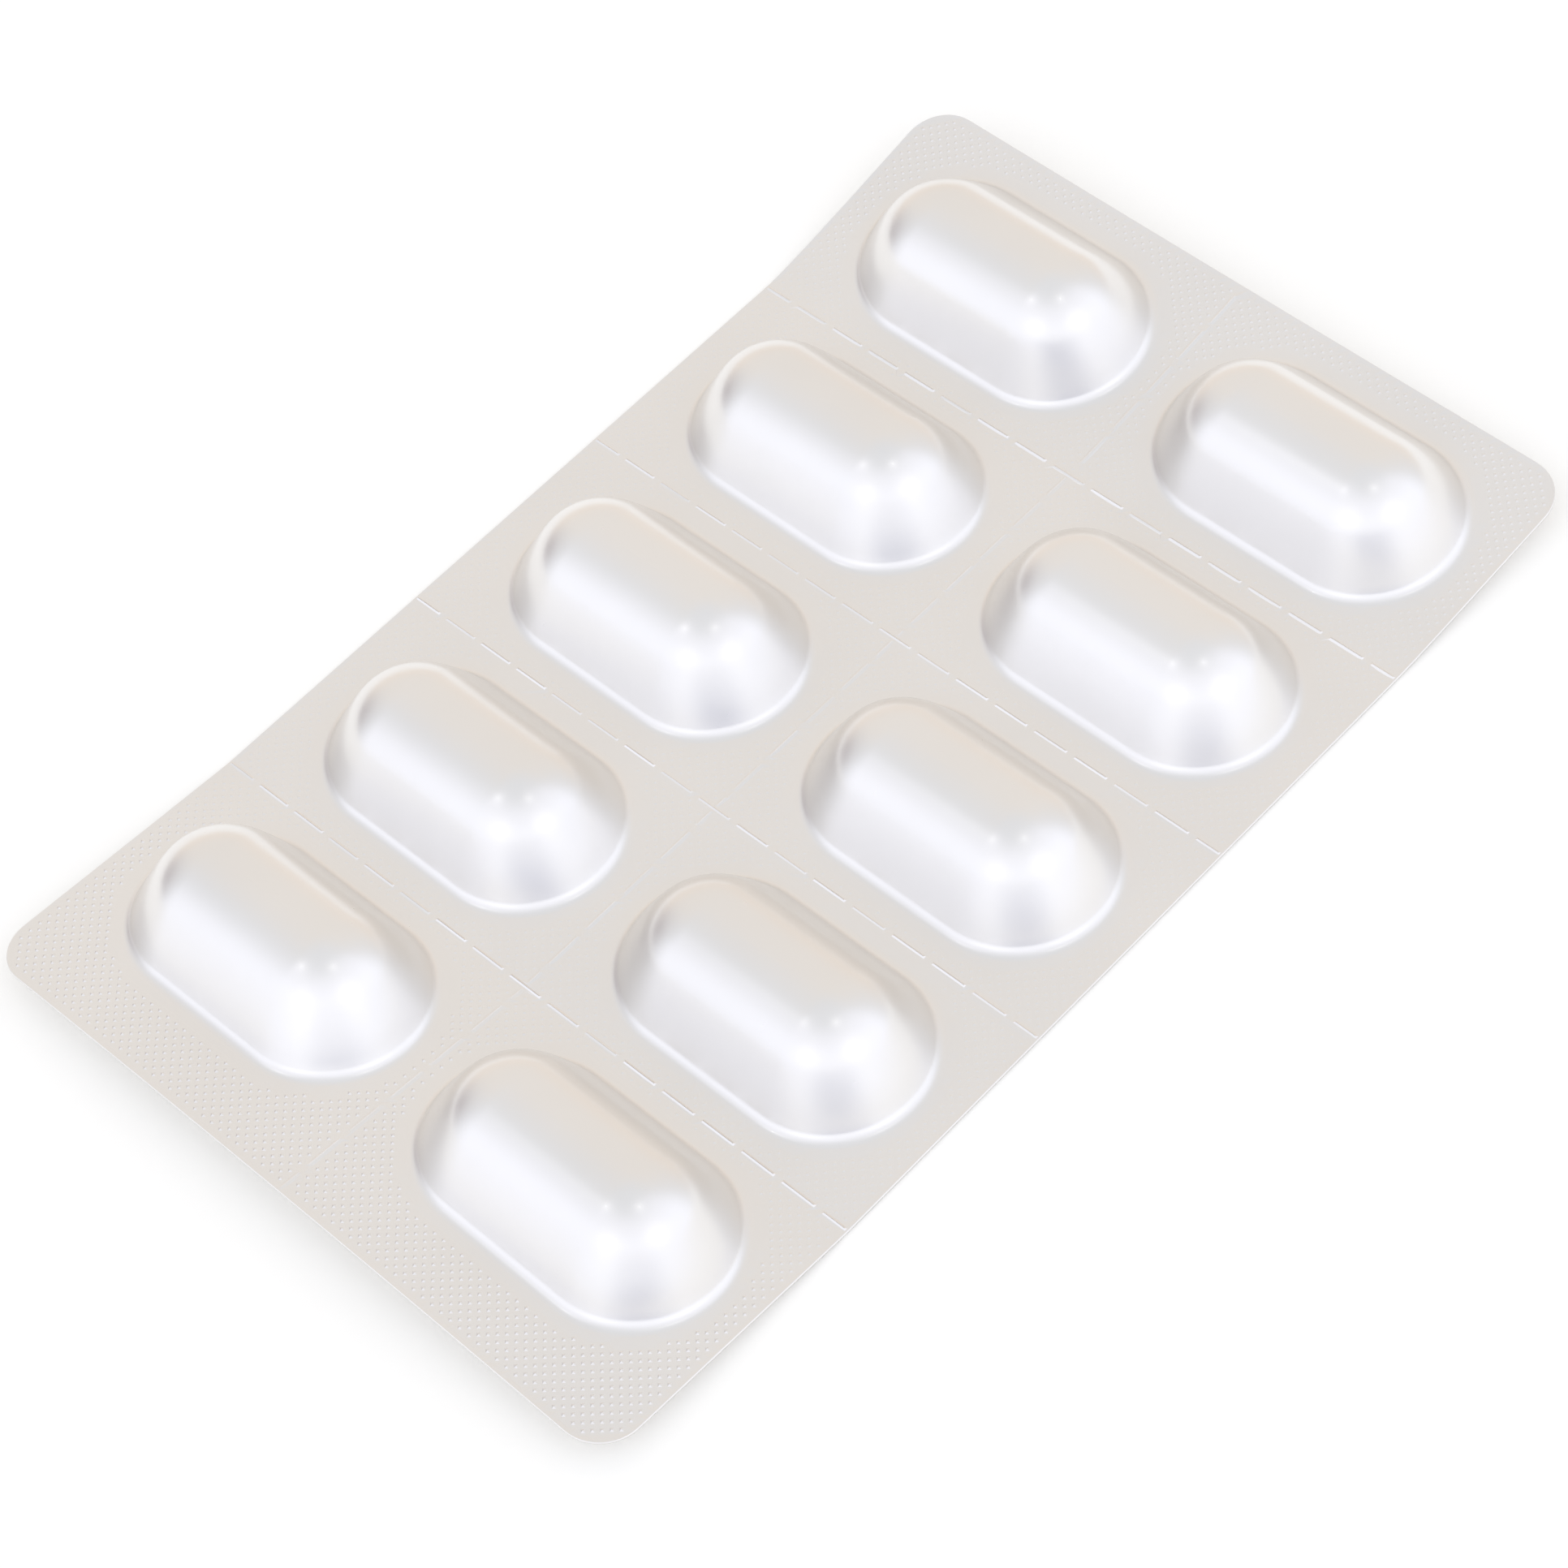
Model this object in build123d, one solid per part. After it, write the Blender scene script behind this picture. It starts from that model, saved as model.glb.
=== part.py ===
from build123d import *
import os
from math import cos, radians, sin, tan

os.makedirs("parts", exist_ok=True)

# A sealed foil pack of ten long caplets, lying flat with its pockets up, in millimetres.
# X runs along the pack to its far end, Y across it to its left edge, and Z up.
# The middle rows lie flat on Z = 0, and the end rows lean up from bends beside their tear lines.

# One pocket: a rounded ridge with straight leaning walls that flare out at the foot
pocket_height = 7.4
crown_radius = 5.95
ridge_length = 11.6
wall_angle = 59.0
flare_height = 0.4
flare_angle = 30.0

# The flat foil between the pockets' feet and around them
rows = 5
columns = 2
row_gap = 3.82
column_gap = 3.72
side_flange = 3.01
near_flange = 6.03
far_flange = 3.23
corner_radius = 3.6
foil = 0.25

# How far the tooling stood off the middle of the cells and of the foil
pocket_shift = 0.2
tooling_shift = -0.2

# The slits of the tear lines, cut by a wedge-shaped blade, and where one lies on the long line
slit_length = 3.0
slit_width = 0.2
slit_depth = 0.8 * foil
tie_length = 1.0
long_slit_start = 1.55

# How far past its tear line each end row bends, and how far the pack's end has lifted there
near_bend = 0.3
near_right_lift = 1.8
near_middle_lift = 2.9
near_left_lift = 2.1
far_bend = 1.3
far_right_lift = 1.95
far_middle_lift = 2.7
far_left_lift = 3.7


def reach(height):
    """Distance from the ridge's middle to a pocket's outside, at a height over the foil."""
    lean = radians(wall_angle)
    shoulder_height = pocket_height - crown_radius + crown_radius * cos(lean)
    wall_height = max(height, flare_height)
    wall_reach = crown_radius * sin(lean) + (shoulder_height - wall_height) / tan(lean)
    return wall_reach + (wall_height - height) / tan(radians(flare_angle))


# Sizes that follow from the pocket
foot_reach = reach(0)
row_pitch = 2 * foot_reach + row_gap
column_pitch = 2 * foot_reach + ridge_length + column_gap
tear_lines = [(row + 1 - rows / 2) * row_pitch for row in range(rows - 1)]
near_end = (rows - 1) / 2 * row_pitch + foot_reach + near_flange
far_end = (rows - 1) / 2 * row_pitch + foot_reach + far_flange
half_width = column_pitch / 2 + ridge_length / 2 + foot_reach + side_flange
slit_pitch = slit_length + tie_length


def flat_surface(start, end):
    """The underside of the rows that lie flat, from one bend to the other."""
    return Pos((start + end) / 2, 0, 0) * Face.make_rect(end - start, 2 * half_width)


def lifted_surface(bend, end, *corners):
    """The underside of one end cell, which is level at its bend and lifted at the pack's end."""
    level = [(bend, y, 0.0) for y, lift in corners]
    raised = [(end, y, lift) for y, lift in corners]
    return Face.make_bezier_surface([level, raised])


def foil_sheet():
    """The whole foil, with its corners rounded in plan."""
    plan = RectangleRounded(near_end + far_end, 2 * half_width, corner_radius)
    plan = Pos((far_end - near_end) / 2, 0, 0) * plan
    block = extrude(plan, amount=pocket_height, both=True)
    return Part() + [extrude(face, amount=foil, dir=(0, 0, 1)) for face in undersides] & block


def seat(x, y):
    """The frame of a spot on top of the foil, square to the foil there."""
    upright = Axis((x, y, -foil), (0, 0, 1))
    for face in lifted:
        hits = face.find_intersection_points(upright)
        if hits:
            point, normal = hits[0]
            return Plane(origin=point, x_dir=(1, 0, 0), z_dir=normal) * Pos(0, 0, foil)
    return Pos(x, y, foil)


def walls(bottom, top):
    """The leaning walls all round a pocket, between two heights over the foil."""
    outlines = [
        Pos(0, 0, height) * SlotCenterToCenter(ridge_length, 2 * reach(height), rotation=90)
        for height in (bottom, top)
    ]
    return loft(outlines, ruled=True)


def dome():
    """One pocket over its foot plane, with a flare that runs on below it."""
    crown_centre = pocket_height - crown_radius
    shoulder_height = crown_centre + crown_radius * cos(radians(wall_angle))
    ends = [Pos(0, 0, side * ridge_length / 2) * Sphere(crown_radius) for side in (-1, 1)]
    crown = Rot(90, 0, 0) * (Cylinder(crown_radius, ridge_length) + ends)
    flare = walls(-2 * foil, flare_height)
    return Pos(0, 0, crown_centre) * crown + walls(flare_height, shoulder_height) + flare


def pockets():
    """All the pockets, each trimmed halfway down into the foil that it rises from."""
    trims = [extrude(face, amount=2 * crown_radius, dir=(0, 0, -1)) for face in undersides]
    below = Pos(0, 0, foil / 2) * (Part() + trims)
    pocket = dome()
    made = []
    for row in range(rows):
        for column in range(columns):
            x = (row - (rows - 1) / 2) * row_pitch + pocket_shift
            y = (column - (columns - 1) / 2) * column_pitch + tooling_shift
            made.append(seat(x, y) * pocket - below)
    return made


def slits():
    """The slits across the pack at each tear line, and along it between the columns."""
    tip = (0, -slit_depth)
    blade = Polygon(tip, (slit_width, slit_depth), (-slit_width, slit_depth), align=None)
    slit = extrude(Plane.YZ * blade, amount=slit_length / 2, both=True)
    count = int(half_width / slit_pitch)
    across = [
        Pos(x, tooling_shift + step * slit_pitch, foil) * Rot(0, 0, 90) * slit
        for x in tear_lines
        for step in range(-count, count + 1)
    ]
    first = -int((near_end + long_slit_start) / slit_pitch)
    last = int((far_end - long_slit_start) / slit_pitch)
    along = [
        seat(long_slit_start + step * slit_pitch, tooling_shift) * slit
        for step in range(first, last + 1)
    ]
    return across + along


# The undersides of the flat rows and of the four end cells
near_line = tear_lines[0] - near_bend
far_line = tear_lines[-1] + far_bend
near_right = (-half_width, near_right_lift)
near_middle = (0.0, near_middle_lift)
near_left = (half_width, near_left_lift)
far_right = (-half_width, far_right_lift)
far_middle = (0.0, far_middle_lift)
far_left = (half_width, far_left_lift)
lifted = [
    lifted_surface(near_line, -near_end, near_middle, near_right),
    lifted_surface(near_line, -near_end, near_left, near_middle),
    lifted_surface(far_line, far_end, far_right, far_middle),
    lifted_surface(far_line, far_end, far_middle, far_left),
]
undersides = [flat_surface(near_line, far_line)] + lifted

pack = foil_sheet() + pockets() - slits()

# The middle of the pack's length stands at the origin
pack = Pos((near_end - far_end) / 2, 0, 0) * pack
export_step(pack, "parts/blister_pack.step")
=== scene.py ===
from math import ceil, cos, floor, pi, radians, sin, sqrt
from random import Random

import bpy
from mathutils import Matrix, Vector
from mathutils.geometry import delaunay_2d_cdt


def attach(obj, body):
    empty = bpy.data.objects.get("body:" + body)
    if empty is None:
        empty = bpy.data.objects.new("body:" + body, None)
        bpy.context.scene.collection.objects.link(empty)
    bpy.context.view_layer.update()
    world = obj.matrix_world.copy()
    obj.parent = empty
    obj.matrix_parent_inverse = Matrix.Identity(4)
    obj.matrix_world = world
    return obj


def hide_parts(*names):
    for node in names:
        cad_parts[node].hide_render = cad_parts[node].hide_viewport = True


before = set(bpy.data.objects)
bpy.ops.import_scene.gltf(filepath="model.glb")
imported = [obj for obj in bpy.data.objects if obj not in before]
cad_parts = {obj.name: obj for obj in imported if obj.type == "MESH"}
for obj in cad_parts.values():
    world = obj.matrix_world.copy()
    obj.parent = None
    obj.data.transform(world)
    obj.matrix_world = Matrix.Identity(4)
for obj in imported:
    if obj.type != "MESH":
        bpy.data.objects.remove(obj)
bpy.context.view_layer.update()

# Sizes of the pack in millimetres, nearly as the solid has them, with finer feet and curls

# One pocket: a rounded ridge, leaning walls that bulge a hair and a rounded foot
POCKET_HEIGHT = 7.4
CROWN_RADIUS = 5.99
CROWN_ANGLE = radians(56)
WALL_RADIUS = 39.5
WALL_ANGLE = radians(63)
FOOT_RADIUS = 1.1
RIDGE_LENGTH = 11.6

# How far a pocket's skirt runs on under the foil's top, the plain foil kept clear round it,
# and the height up to which a pocket follows the foil's curl
SKIRT_WIDTH = 0.15
SKIRT_DEPTH = 0.02
PLAIN_WIDTH = 0.3
FOLLOW_HEIGHT = 2.5

# The rows and columns, and the foil round them
ROW_PITCH = 20.35
COLUMN_PITCH = 31.85
POCKET_SHIFT = 0.2
TOOLING_SHIFT = -0.2
NEAR_END = 54.99
FAR_END = 52.19
HALF_WIDTH = 33.0
CORNER_RADIUS = 3.6
FOIL = 0.25
EDGE_ROUNDING = 0.05
TEAR_LINES = [(row - 1.5) * ROW_PITCH for row in range(4)]
MIDDLE = (FAR_END - NEAR_END) / 2
HALF_LENGTH = (FAR_END + NEAR_END) / 2

# How far each end has lifted at its right corner, middle and left corner,
# and how gradually it leaves the flat after its tear line
FAR_LIFT = (1.95, 2.7, 3.7)
FAR_EASE = 3.0
NEAR_LIFT = (1.8, 2.9, 2.1)
NEAR_EASE = 0.5

# The pressed grid: its pitch and depth, and the small pyramid in the middle of each cell,
# with its share of the cell's width and of its height at the near end, middle and far end
KNURL_PITCH = 0.66
KNURL_DEPTH = 0.035
KNURL_STEP = KNURL_PITCH / sqrt(2)
TIP_HEIGHT = 0.09
TIP_SHARE = 0.46
TIP_LEVELS = (1.0, 0.4, 0.75)

# The cuts of the tear lines, each with a raised lip round it
SLIT_LENGTH = 3.0
SLIT_WIDTH = 0.03
SLIT_PITCH = 4.0
SLIT_MARGIN = 0.3
SHORTEST_SLIT = 0.4
LONG_SLIT_START = 1.55
LIP_WIDTH = 0.12
CROSS_LIP = 0.1
LONG_LIP = 0.03
LOWEST_LIP = 0.55

MM = 0.001


def smooth(value, low, high):
    """0 below low, 1 above high and an even S between them."""
    share = min(max((value - low) / (high - low), 0.0), 1.0)
    return share * share * (3 - 2 * share)


def underside(x, y):
    """Height of the foil's underside over the floor."""
    near_line, far_line = TEAR_LINES[0], TEAR_LINES[-1]
    if x > far_line:
        past, length, ease = x - far_line, FAR_END - far_line, FAR_EASE
        right, middle, left = FAR_LIFT
    elif x < near_line:
        past, length, ease = near_line - x, NEAR_END + near_line, NEAR_EASE
        right, middle, left = NEAR_LIFT
    else:
        return 0.0
    across = y / HALF_WIDTH
    height = middle + across * (left - right) / 2 + across * across * ((left + right) / 2 - middle)
    spread = length - 2 * ease
    share = (sqrt(ease * ease + spread * past) - ease) / spread
    return height * share * share


def topside(x, y):
    """Height of the foil's top over the floor."""
    return underside(x, y) + FOIL


def seat(x, y):
    """Origin and axes of a pocket that stands square on the foil at a spot."""
    step = 0.05
    slope_x = (topside(x + step, y) - topside(x - step, y)) / (2 * step)
    slope_y = (topside(x, y + step) - topside(x, y - step)) / (2 * step)
    up = Vector((-slope_x, -slope_y, 1)).normalized()
    along = Vector((1, 0, 0))
    along = (along - up * along.dot(up)).normalized()
    return Vector((x, y, topside(x, y))), along, up.cross(along), up


# The spots of the pockets
POCKETS = [
    ((row - 2) * ROW_PITCH + POCKET_SHIFT, (column - 0.5) * COLUMN_PITCH + TOOLING_SHIFT)
    for row in range(5)
    for column in range(2)
]
CROWN_REACH = CROWN_RADIUS * sin(CROWN_ANGLE)
WALL_REACH = CROWN_REACH + WALL_RADIUS * (sin(WALL_ANGLE) - sin(CROWN_ANGLE))
FOOT_REACH = WALL_REACH + FOOT_RADIUS * sin(WALL_ANGLE)


def dome_profile():
    """Reach and height of each ring of a pocket, from just under the foil to near its ridge."""
    foot_steps, wall_steps, crown_steps = 7, 7, 12
    rings = [(FOOT_REACH + SKIRT_WIDTH, -SKIRT_DEPTH)]
    for step in range(foot_steps):
        angle = WALL_ANGLE * step / foot_steps
        rings.append((FOOT_REACH - FOOT_RADIUS * sin(angle), FOOT_RADIUS * (1 - cos(angle))))
    crown_drop = CROWN_RADIUS * (1 - cos(CROWN_ANGLE))
    for step in range(wall_steps):
        angle = WALL_ANGLE + (CROWN_ANGLE - WALL_ANGLE) * step / wall_steps
        reach = CROWN_REACH + WALL_RADIUS * (sin(angle) - sin(CROWN_ANGLE))
        drop = crown_drop + WALL_RADIUS * (cos(CROWN_ANGLE) - cos(angle))
        rings.append((reach, POCKET_HEIGHT - drop))
    for step in range(crown_steps):
        angle = CROWN_ANGLE * (1 - step / crown_steps)
        rings.append(
            (CROWN_RADIUS * sin(angle), POCKET_HEIGHT - CROWN_RADIUS * (1 - cos(angle)))
        )
    return rings


def spokes():
    """Direction and place on the ridge of each point of a ring, once round from the right side."""
    arc_steps, side_steps = 44, 12
    found = []
    for side in (1, -1):
        for step in range(arc_steps):
            angle = pi * step / arc_steps + (0 if side > 0 else pi)
            found.append((cos(angle), sin(angle), side * RIDGE_LENGTH / 2))
        for step in range(side_steps):
            place = side * RIDGE_LENGTH * (0.5 - step / side_steps)
            found.append((-side, 0.0, place))
    return found


class MeshBuilder:
    """Gathers the points, faces and face kinds of one closed mesh."""

    def __init__(self):
        self.points = []
        self.faces = []
        self.is_smooth = []

    def point(self, x, y, z):
        self.points.append((x, y, z))
        return len(self.points) - 1

    def face(self, *corners, is_smooth=False):
        self.faces.append(corners)
        self.is_smooth.append(is_smooth)

    def make(self, name):
        mesh = bpy.data.meshes.new(name)
        shifted = [((x - MIDDLE) * MM, y * MM, z * MM) for x, y, z in self.points]
        mesh.from_pydata(shifted, [], self.faces)
        mesh.polygons.foreach_set("use_smooth", self.is_smooth)
        mesh.validate()
        mesh.update()
        piece = bpy.data.objects.new(name, mesh)
        bpy.context.scene.collection.objects.link(piece)
        return piece


def add_dome(builder, x, y):
    """Adds one pocket and returns the points of its skirt and of its foot, once round."""
    origin, along, across, up = seat(x, y)
    rays = spokes()
    rings = []
    for reach, height in dome_profile():
        follows = 1 - smooth(height, 0.0, FOLLOW_HEIGHT)
        ring = []
        for dx, dy, place in rays:
            spot = origin + along * (reach * dx) + across * (place + reach * dy)
            drop = topside(spot.x, spot.y) - spot.z
            spot = spot + up * height
            ring.append(builder.point(spot.x, spot.y, spot.z + follows * drop))
        rings.append(ring)
    count = len(rays)
    for lower, upper in zip(rings, rings[1:]):
        for i in range(count):
            j = (i + 1) % count
            builder.face(lower[i], lower[j], upper[j], upper[i], is_smooth=True)
    # The ridge closes the top: fans round its two ends and strips between them
    places = sorted({place for _, _, place in rays})
    ridge = {}
    for place in places:
        spot = origin + across * place + up * POCKET_HEIGHT
        ridge[place] = builder.point(spot.x, spot.y, spot.z)
    top = rings[-1]
    for i in range(count):
        j = (i + 1) % count
        here, there = ridge[rays[i][2]], ridge[rays[j][2]]
        if here == there:
            builder.face(top[i], top[j], here, is_smooth=True)
        else:
            builder.face(top[i], top[j], there, here, is_smooth=True)
    return rings[0], rings[1]


def outline(inset):
    """Plan of the foil's edge, once round, moved in by a little."""
    arc_steps, spacing = 12, 0.8
    low_x, high_x = -NEAR_END + CORNER_RADIUS, FAR_END - CORNER_RADIUS
    low_y, high_y = -HALF_WIDTH + CORNER_RADIUS, HALF_WIDTH - CORNER_RADIUS
    centres = [(high_x, low_y), (high_x, high_y), (low_x, high_y), (low_x, low_y)]
    radius = CORNER_RADIUS - inset
    found = []
    for turn, (x, y) in enumerate(centres):
        start = (turn - 1) * pi / 2
        for step in range(arc_steps + 1):
            angle = start + step / arc_steps * pi / 2
            found.append((x + radius * cos(angle), y + radius * sin(angle)))
        next_x, next_y = centres[(turn + 1) % 4]
        length = abs(next_x - x) + abs(next_y - y)
        steps = ceil(length / spacing)
        last_x, last_y = found[-1]
        for step in range(1, steps):
            share = step / steps
            found.append((last_x + share * (next_x - x), last_y + share * (next_y - y)))
    return found


def slit_spans():
    """Ends of each slit: those along the tear lines, and those between the columns."""
    spans = []
    clear = SLIT_WIDTH / 2 + 2 * LIP_WIDTH + 0.1
    edge = HALF_WIDTH - SLIT_MARGIN
    for line in TEAR_LINES:
        for step in range(-8, 9):
            start = TOOLING_SHIFT + step * SLIT_PITCH - SLIT_LENGTH / 2
            end = min(start + SLIT_LENGTH, edge)
            spans.append(((line, max(start, -edge)), (line, end)))
    for step in range(-14, 13):
        start = LONG_SLIT_START + step * SLIT_PITCH - SLIT_LENGTH / 2
        end = min(start + SLIT_LENGTH, FAR_END - SLIT_MARGIN)
        start = max(start, -NEAR_END + SLIT_MARGIN)
        pieces = [(start, end)]
        for line in TEAR_LINES:
            if start < line < end:
                pieces = [(start, line - clear), (line + clear, end)]
        for low, high in pieces:
            if high - low > SHORTEST_SLIT:
                spans.append(((low, TOOLING_SHIFT), (high, TOOLING_SHIFT)))
    return spans


def slit_corners(start, end, margin):
    """The four corners of a slit's mouth, once round, moved out by a margin."""
    (x0, y0), (x1, y1) = start, end
    half = SLIT_WIDTH / 2 + margin
    if x0 == x1:
        y0, y1 = y0 - margin, y1 + margin
        return [(x0 + half, y0), (x0 + half, y1), (x0 - half, y1), (x0 - half, y0)]
    x0, x1 = x0 - margin, x1 + margin
    return [(x0, y0 - half), (x1, y0 - half), (x1, y0 + half), (x0, y0 + half)]


def from_ridge(x, y, pocket):
    """How far a spot is from the line under a pocket's ridge, in plan."""
    past = max(abs(y - pocket[1]) - RIDGE_LENGTH / 2, 0.0)
    return sqrt((x - pocket[0]) ** 2 + past * past)


def room_at(x, y, spans):
    """How far a spot on the foil is from its edge, the pockets' plain rings and the lips."""
    over_x = abs(x - MIDDLE) - (HALF_LENGTH - CORNER_RADIUS)
    over_y = abs(y) - (HALF_WIDTH - CORNER_RADIUS)
    if over_x > 0 and over_y > 0:
        room = CORNER_RADIUS - sqrt(over_x * over_x + over_y * over_y)
    else:
        room = CORNER_RADIUS - max(over_x, over_y)
    for pocket in POCKETS:
        if abs(x - pocket[0]) < ROW_PITCH / 2 and abs(y - pocket[1]) < COLUMN_PITCH / 2 + 1:
            room = min(room, from_ridge(x, y, pocket) - FOOT_REACH - PLAIN_WIDTH)
    for (x0, y0), (x1, y1) in spans:
        dx = max(x0 - x, 0.0, x - x1)
        if dx > 1:
            continue
        dy = max(y0 - y, 0.0, y - y1)
        if dy > 1:
            continue
        room = min(room, sqrt(dx * dx + dy * dy) - SLIT_WIDTH / 2 - LIP_WIDTH)
    return room


def knurl_corner(i, j):
    """Plan of a corner of the pressed grid, whose lines run at 45 degrees to the pack."""
    return ((i - j) * KNURL_STEP, (i + j) * KNURL_STEP)


def knurl_middle(i, j):
    """Plan of the middle of a cell of the pressed grid."""
    return ((i - j) * KNURL_STEP, (i + j + 1) * KNURL_STEP)


def cell_corners(i, j):
    """The corners of a cell of the pressed grid, once round."""
    return [(i, j), (i + 1, j), (i + 1, j + 1), (i, j + 1)]


def tip_height(x):
    """Height of the grid's points, which are pressed harder into the foil's two end rows."""
    near, middle, far = TIP_LEVELS
    near_share, far_share = smooth(-x, 28, 42), smooth(x, 30, 42)
    return TIP_HEIGHT * (middle + (near - middle) * near_share + (far - middle) * far_share)


def knurl_cells(spans):
    """The whole cells of the pressed grid that fit on the foil, row by row."""
    needed = KNURL_STEP + 0.05
    reach = ceil((NEAR_END + HALF_WIDTH) / KNURL_PITCH)
    cells = []
    for i in range(-reach, reach):
        for j in range(-reach, reach):
            x, y = knurl_middle(i, j)
            if abs(y) > HALF_WIDTH or not -NEAR_END < x < FAR_END:
                continue
            if room_at(x, y, spans) > needed:
                cells.append((i, j))
    return cells


def border_edges(cells):
    """The edges that only one whole cell has."""
    whole = set(cells)
    edges = []
    for i, j in cells:
        a, b, c, d = cell_corners(i, j)
        sides = [((i, j - 1), a, b), ((i + 1, j), b, c), ((i, j + 1), c, d), ((i - 1, j), d, a)]
        edges.extend((start, end) for beyond, start, end in sides if beyond not in whole)
    return edges


def fill(points, edges, loops, keep):
    """Triangles between loops and edges, as corners into points; keep says which to keep."""
    vertices = [Vector(point) for point in points]
    result = delaunay_2d_cdt(vertices, edges, loops, 0, 1e-6, True)
    faces, originals, sources = result[2], result[3], result[5]
    kept = []
    for face, source in zip(faces, sources):
        corners = []
        for corner in face:
            same = originals[corner]
            if not same:
                raise RuntimeError("two lines of the foil's plan cross")
            corners.append(same[0])
        x = sum(points[c][0] for c in corners) / 3
        y = sum(points[c][1] for c in corners) / 3
        if keep(x, y, source):
            kept.append(corners)
    return kept


class FoilBuilder(MeshBuilder):
    """The foil's mesh, with the plan that its top and its underside share."""

    def __init__(self):
        super().__init__()
        self.plan = []
        self.tops = []
        self.lows = []

    def over_top(self, x, y, height):
        return self.point(x, y, topside(x, y) + height)

    def over_underside(self, x, y, height):
        return self.point(x, y, underside(x, y) + height)

    def pair(self, x, y, over_top=0.0, over_underside=0.0):
        """Adds a spot of the plan with its two points, and returns the spot's number."""
        self.plan.append((x, y))
        self.tops.append(self.over_top(x, y, over_top))
        self.lows.append(self.over_underside(x, y, over_underside))
        return len(self.plan) - 1

    def loop(self, spots):
        return [self.pair(x, y) for x, y in spots]


def add_knurl(foil, cells):
    """The pressed grid: valleys at the cells' corners and a small steep point in each middle."""
    number = {}
    for cell in cells:
        for corner in cell_corners(*cell):
            if corner not in number:
                x, y = knurl_corner(*corner)
                number[corner] = foil.pair(x, y, -KNURL_DEPTH, 2 * KNURL_DEPTH)
    for cell in cells:
        corners = cell_corners(*cell)
        ring = [number[corner] for corner in corners]
        x, y = knurl_middle(*cell)
        tip = foil.over_top(x, y, tip_height(x) - KNURL_DEPTH)
        low = foil.over_underside(x, y, 0.0)
        base = []
        for corner in corners:
            u, v = knurl_corner(*corner)
            u, v = x + (u - x) * TIP_SHARE, y + (v - y) * TIP_SHARE
            base.append(foil.over_top(u, v, -KNURL_DEPTH))
        for i in range(4):
            j = (i + 1) % 4
            foil.face(foil.tops[ring[i]], foil.tops[ring[j]], base[j], base[i])
            foil.face(base[i], base[j], tip)
            foil.face(foil.lows[ring[j]], foil.lows[ring[i]], low)
    return number


def add_strips(foil, cells, number, loops):
    """The plain strips between the grid and the edge, the feet and the slits."""
    whole = set(cells)
    borders = [(number[start], number[end]) for start, end in border_edges(cells)]
    used = sorted({spot for edge in borders for spot in edge})
    spots = sorted(spot for loop in loops for spot in loop) + used
    place = {spot: order for order, spot in enumerate(spots)}
    points = [foil.plan[spot] for spot in spots]
    edges = [(place[start], place[end]) for start, end in borders]
    rings = [[place[spot] for spot in loop] for loop in loops]

    def in_strip(x, y, source):
        along, across = (y + x) / 2 / KNURL_STEP, (y - x) / 2 / KNURL_STEP
        return source == [0] and (floor(along), floor(across)) not in whole

    for triangle in fill(points, edges, rings, in_strip):
        a, b, c = (spots[corner] for corner in triangle)
        foil.face(foil.tops[a], foil.tops[b], foil.tops[c])
        foil.face(foil.lows[c], foil.lows[b], foil.lows[a])


def add_slits(foil, spans, loops):
    """The slits, whose blade has left uneven raised lips."""
    wear = Random(5)
    for (start, end), loop in zip(spans, loops):
        lip = CROSS_LIP if start[0] == end[0] else LONG_LIP
        lip = lip * wear.uniform(LOWEST_LIP, 1.0)
        mouth = [foil.over_top(x, y, lip) for x, y in slit_corners(start, end, 0.0)]
        for i in range(4):
            j = (i + 1) % 4
            foil.face(foil.tops[loop[i]], foil.tops[loop[j]], mouth[j], mouth[i])
        near, far = (foil.over_top(x, y, lip / 2) for x, y in (start, end))
        a, b, c, d = mouth
        foil.face(a, b, far, near)
        foil.face(b, c, far)
        foil.face(c, d, near, far)
        foil.face(d, a, near)
        foil.face(*(foil.lows[spot] for spot in reversed(loop)))


def add_pad(foil, domes, pocket, loop, skirt):
    """The plain foil under a pocket, and the pocket's own hidden base."""
    points = [foil.plan[spot] for spot in loop]
    below = [foil.lows[spot] for spot in loop]
    above = [foil.tops[spot] for spot in loop]
    base = list(skirt)
    for i in range(-3, 4):
        for j in range(-6, 7):
            x, y = pocket[0] + 2.2 * i, pocket[1] + 2.1 * j
            if from_ridge(x, y, pocket) < FOOT_REACH - 1:
                points.append((x, y))
                below.append(foil.over_underside(x, y, 0.0))
                above.append(foil.over_top(x, y, 0.0))
                base.append(domes.point(x, y, topside(x, y) - SKIRT_DEPTH))
    ring = list(range(len(loop)))
    for a, b, c in fill(points, [], [ring], lambda x, y, source: source == [0]):
        foil.face(below[c], below[b], below[a], is_smooth=True)
        foil.face(above[a], above[b], above[c])
        domes.face(base[c], base[b], base[a])


def add_edge(foil, loop):
    """The foil's cut edge, slightly rounded."""
    rim = outline(0.0)
    upper = [foil.over_top(x, y, -EDGE_ROUNDING) for x, y in rim]
    lower = [foil.over_underside(x, y, EDGE_ROUNDING) for x, y in rim]
    for i, a in enumerate(loop):
        j = (i + 1) % len(loop)
        b = loop[j]
        foil.face(upper[i], upper[j], foil.tops[b], foil.tops[a], is_smooth=True)
        foil.face(lower[i], lower[j], upper[j], upper[i], is_smooth=True)
        foil.face(foil.lows[a], foil.lows[b], lower[j], lower[i], is_smooth=True)


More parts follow.
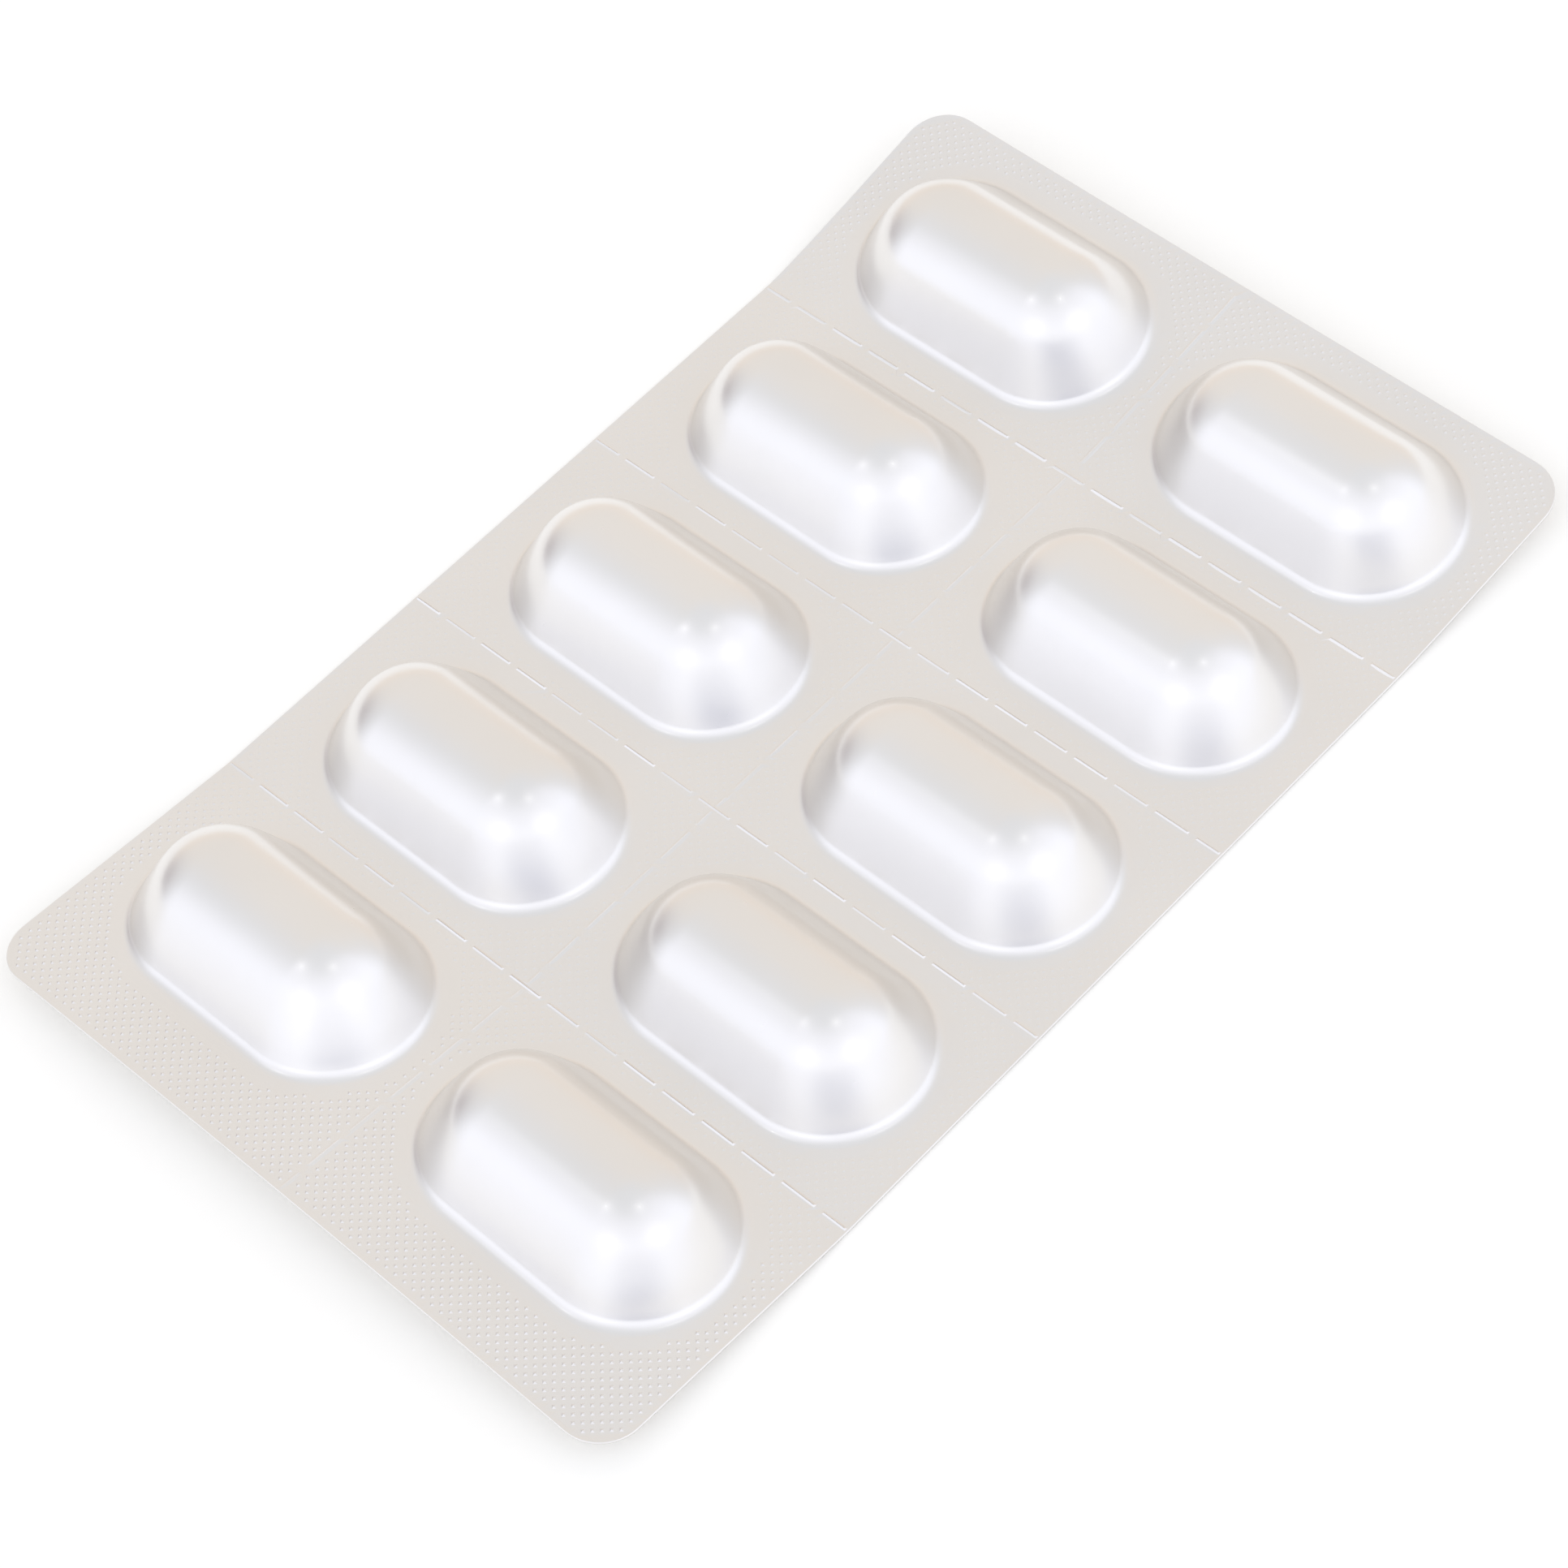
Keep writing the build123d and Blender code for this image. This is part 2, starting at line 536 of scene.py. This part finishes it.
def build_pack():
    """The pack as two closed meshes: the foil with its pressed grid, and the pockets on it."""
    foil = FoilBuilder()
    domes = MeshBuilder()
    skirts_and_feet = [add_dome(domes, x, y) for x, y in POCKETS]
    spans = slit_spans()
    cells = knurl_cells(spans)
    edge = foil.loop(outline(EDGE_ROUNDING))
    feet = [
        foil.loop([domes.points[point][:2] for point in foot]) for _, foot in skirts_and_feet
    ]
    lips = [foil.loop(slit_corners(start, end, LIP_WIDTH)) for start, end in spans]
    number = add_knurl(foil, cells)
    add_strips(foil, cells, number, [edge, *feet, *lips])
    add_slits(foil, spans, lips)
    for pocket, (skirt, _), loop in zip(POCKETS, skirts_and_feet, feet):
        add_pad(foil, domes, pocket, loop, skirt)
    add_edge(foil, edge)
    return foil.make("foil_sheet"), domes.make("pockets")


def node(tree, kind, **settings):
    """A new shader node with some of its settings."""
    made = tree.nodes.new(kind)
    for name, value in settings.items():
        setattr(made, name, value)
    return made


def math_node(tree, operation, *values):
    """A Math node whose inputs are sockets or numbers; returns its output."""
    made = node(tree, "ShaderNodeMath", operation=operation)
    for socket, value in zip(made.inputs, values):
        if isinstance(value, (int, float)):
            socket.default_value = value
        else:
            tree.links.new(value, socket)
    return made.outputs[0]


def foil_material():
    """Bare satin aluminium foil under a thin clear lacquer."""
    material = bpy.data.materials.new("satin_foil")
    material.use_nodes = True
    tree = material.node_tree
    shader = tree.nodes["Principled BSDF"]
    shader.inputs["Metallic"].default_value = 0.9
    shader.inputs["Coat Weight"].default_value = 0.3
    shader.inputs["Coat Roughness"].default_value = 0.03
    place = node(tree, "ShaderNodeTexCoord").outputs["Object"]

    # The rolled foil's colour drifts a little
    drift = node(tree, "ShaderNodeTexNoise")
    drift.inputs["Scale"].default_value = 60.0
    drift.inputs["Detail"].default_value = 3.0
    tree.links.new(place, drift.inputs["Vector"])
    colour = node(tree, "ShaderNodeValToRGB")
    colour.color_ramp.elements[0].position = 0.35
    colour.color_ramp.elements[0].color = (0.86, 0.842, 0.82, 1)
    colour.color_ramp.elements[1].position = 0.65
    colour.color_ramp.elements[1].color = (0.88, 0.862, 0.84, 1)
    tree.links.new(drift.outputs["Fac"], colour.inputs["Fac"])
    tree.links.new(colour.outputs["Color"], shader.inputs["Base Color"])

    # Its polish varies in fine streaks
    streaks = node(tree, "ShaderNodeTexNoise")
    streaks.inputs["Scale"].default_value = 900.0
    streaks.inputs["Detail"].default_value = 4.0
    tree.links.new(place, streaks.inputs["Vector"])
    polish = node(tree, "ShaderNodeMapRange")
    polish.inputs["To Min"].default_value = 0.26
    polish.inputs["To Max"].default_value = 0.32
    tree.links.new(streaks.outputs["Fac"], polish.inputs["Value"])
    tree.links.new(polish.outputs["Result"], shader.inputs["Roughness"])

    # Fine grain in the surface
    bump = node(tree, "ShaderNodeBump")
    bump.inputs["Strength"].default_value = 0.05
    bump.inputs["Distance"].default_value = 0.0001
    tree.links.new(streaks.outputs["Fac"], bump.inputs["Height"])
    tree.links.new(bump.outputs["Normal"], shader.inputs["Normal"])
    return material


def floor_material():
    """A pale floor that shows white, with the object's shadow on it."""
    material = bpy.data.materials.new("white_floor")
    material.use_nodes = True
    tree = material.node_tree
    tree.nodes.remove(tree.nodes["Principled BSDF"])
    output = tree.nodes["Material Output"]
    diffuse = node(tree, "ShaderNodeBsdfDiffuse")
    diffuse.inputs["Color"].default_value = (0.87, 0.86, 0.825, 1)
    glow = node(tree, "ShaderNodeEmission")
    glow.inputs["Strength"].default_value = 0.2
    path = node(tree, "ShaderNodeLightPath")
    seen = math_node(tree, "MAXIMUM", path.outputs["Is Camera Ray"], path.outputs["Is Glossy Ray"])
    seen = math_node(tree, "MAXIMUM", seen, path.outputs["Is Transmission Ray"])
    none = node(tree, "ShaderNodeEmission")
    none.inputs["Strength"].default_value = 0.0
    pick = node(tree, "ShaderNodeMixShader")
    tree.links.new(seen, pick.inputs[0])
    tree.links.new(none.outputs[0], pick.inputs[1])
    tree.links.new(glow.outputs[0], pick.inputs[2])
    both = node(tree, "ShaderNodeAddShader")
    tree.links.new(diffuse.outputs[0], both.inputs[0])
    tree.links.new(pick.outputs[0], both.inputs[1])
    tree.links.new(both.outputs[0], output.inputs["Surface"])
    return material


def soft_step(tree, value, low, high):
    """A smooth step from 0 at low to 1 at high."""
    made = node(tree, "ShaderNodeMapRange", interpolation_type="SMOOTHSTEP")
    tree.links.new(value, made.inputs["Value"])
    made.inputs["From Min"].default_value = low
    made.inputs["From Max"].default_value = high
    return made.outputs["Result"]


def mix_colour(tree, share, first, second):
    """A mix of two colours, each a socket or a plain colour."""
    made = node(tree, "ShaderNodeMix", data_type="RGBA")
    tree.links.new(share, made.inputs["Factor"])
    for name, value in (("A", first), ("B", second)):
        socket = [s for s in made.inputs if s.name == name and s.type == "RGBA"][0]
        if isinstance(value, tuple):
            socket.default_value = (*value, 1)
        else:
            tree.links.new(value, socket)
    return [s for s in made.outputs if s.type == "RGBA"][0]


def studio_world():
    """A studio: pale cloth overhead, a warm wall with a darker corner on the far side, and on
    the near side a broad softbox with two brighter spots, and a dark gap low in its middle."""
    world = bpy.data.worlds.new("studio")
    bpy.context.scene.world = world
    world.use_nodes = True
    tree = world.node_tree
    direction = node(tree, "ShaderNodeTexCoord").outputs["Generated"]
    parts = node(tree, "ShaderNodeSeparateXYZ")
    tree.links.new(direction, parts.inputs[0])
    turn = math_node(tree, "ARCTAN2", parts.outputs[1], parts.outputs[0])
    turn = math_node(tree, "MULTIPLY", turn, 180 / pi)
    zenith = math_node(tree, "ARCCOSINE", parts.outputs[2])
    zenith = math_node(tree, "MULTIPLY", zenith, 180 / pi)

    def sector(middle, half, edge):
        """1 within half a sector's width of an azimuth, with a soft edge."""
        away = math_node(tree, "SUBTRACT", turn, middle)
        away = math_node(tree, "WRAP", away, 180.0, -180.0)
        away = math_node(tree, "ABSOLUTE", away)
        return soft_step(tree, away, half + edge, half - edge)

    def both(share, other):
        """1 where two shares are."""
        return math_node(tree, "MULTIPLY", share, other)

    def below(start, end):
        """0 above one zenith angle and 1 below another."""
        return soft_step(tree, zenith, start, end)

    def spot(azimuth, down, inner, outer):
        """1 near a direction, so many degrees down from the zenith, with a soft edge."""
        a, z = radians(azimuth), radians(down)
        turned = node(tree, "ShaderNodeVectorMath", operation="DOT_PRODUCT")
        tree.links.new(direction, turned.inputs[0])
        turned.inputs[1].default_value = (cos(a) * sin(z), sin(a) * sin(z), cos(z))
        away = math_node(tree, "ARCCOSINE", turned.outputs["Value"])
        away = math_node(tree, "MULTIPLY", away, 180 / pi)
        return soft_step(tree, away, outer, inner)

    cloth = (0.82, 0.84, 0.88)
    wall = mix_colour(tree, below(68, 84), (0.88, 0.84, 0.80), (0.92, 0.82, 0.73))
    corner = mix_colour(tree, below(62, 84), (0.66, 0.64, 0.65), (0.44, 0.40, 0.42))
    box = mix_colour(tree, below(45, 62), (1.06, 1.08, 1.17), (1.14, 1.17, 1.28))
    gap = mix_colour(tree, below(78, 89), (1.12, 1.14, 1.22), (0.38, 0.41, 0.58))
    colour = mix_colour(tree, both(sector(45, 55, 25), below(15, 40)), cloth, wall)
    colour = mix_colour(tree, both(sector(106, 13, 19), below(42, 76)), colour, corner)
    colour = mix_colour(tree, both(sector(231, 99, 14), below(8, 42)), colour, box)
    colour = mix_colour(tree, both(sector(226, 22, 18), below(55, 75)), colour, gap)
    for azimuth, down in ((190, 62), (266, 60)):
        colour = mix_colour(tree, spot(azimuth, down, 4, 24), colour, (1.30, 1.32, 1.38))
    background = tree.nodes["Background"]
    tree.links.new(colour, background.inputs["Color"])
    background.inputs["Strength"].default_value = 1.0


def add_lamp(name, azimuth, down, power, size):
    """A small lamp, 90 cm away, that gives each pocket a point of light."""
    light = bpy.data.lights.new(name, "AREA")
    light.shape = "DISK"
    light.size = size
    light.energy = power
    lamp = bpy.data.objects.new(name, light)
    a, z = radians(azimuth), radians(down)
    lamp.location = Vector((cos(a) * sin(z), sin(a) * sin(z), cos(z))) * 0.9
    lamp.rotation_euler = lamp.location.to_track_quat("Z", "Y").to_euler()
    bpy.context.scene.collection.objects.link(lamp)


def add_camera():
    """The photograph's view: from 33 cm away and 53 degrees up, with the camera rolled a little."""
    data = bpy.data.cameras.new("camera")
    data.sensor_width = 36.0
    data.lens = 99.21
    data.clip_start = 0.01
    camera = bpy.data.objects.new("camera", data)
    camera.location = Vector((-117.78, -159.24, 263.94)) * MM
    target = Vector((-3.845, -2.85, 0.25)) * MM
    turned = (target - camera.location).to_track_quat("-Z", "Y").to_matrix()
    camera.rotation_euler = (turned @ Matrix.Rotation(radians(-12.97), 3, "Z")).to_euler()
    bpy.context.scene.collection.objects.link(camera)
    bpy.context.scene.camera = camera


def add_floor():
    """A broad floor, a tenth of a millimetre under the pack."""
    mesh = bpy.data.meshes.new("floor")
    reach = 4.0
    corners = [(-reach, -reach, 0), (reach, -reach, 0), (reach, reach, 0), (-reach, reach, 0)]
    mesh.from_pydata(corners, [], [(0, 1, 2, 3)])
    mesh.materials.append(floor_material())
    ground = bpy.data.objects.new("floor", mesh)
    ground.location.z = -0.1 * MM
    bpy.context.scene.collection.objects.link(ground)


add_camera()

foil = foil_material()
for piece in build_pack():
    piece.data.materials.append(foil)
    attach(piece, "root")
    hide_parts("blister_pack")
# The pockets don't mirror each other, which keeps their near walls as bright as they should be
bpy.data.objects["pockets"].visible_glossy = False

add_floor()
studio_world()
add_lamp("left_lamp", 145, 30, 0.03, 0.013)
add_lamp("front_lamp", 275, 18, 0.035, 0.013)
bpy.context.scene.view_settings.view_transform = "Standard"
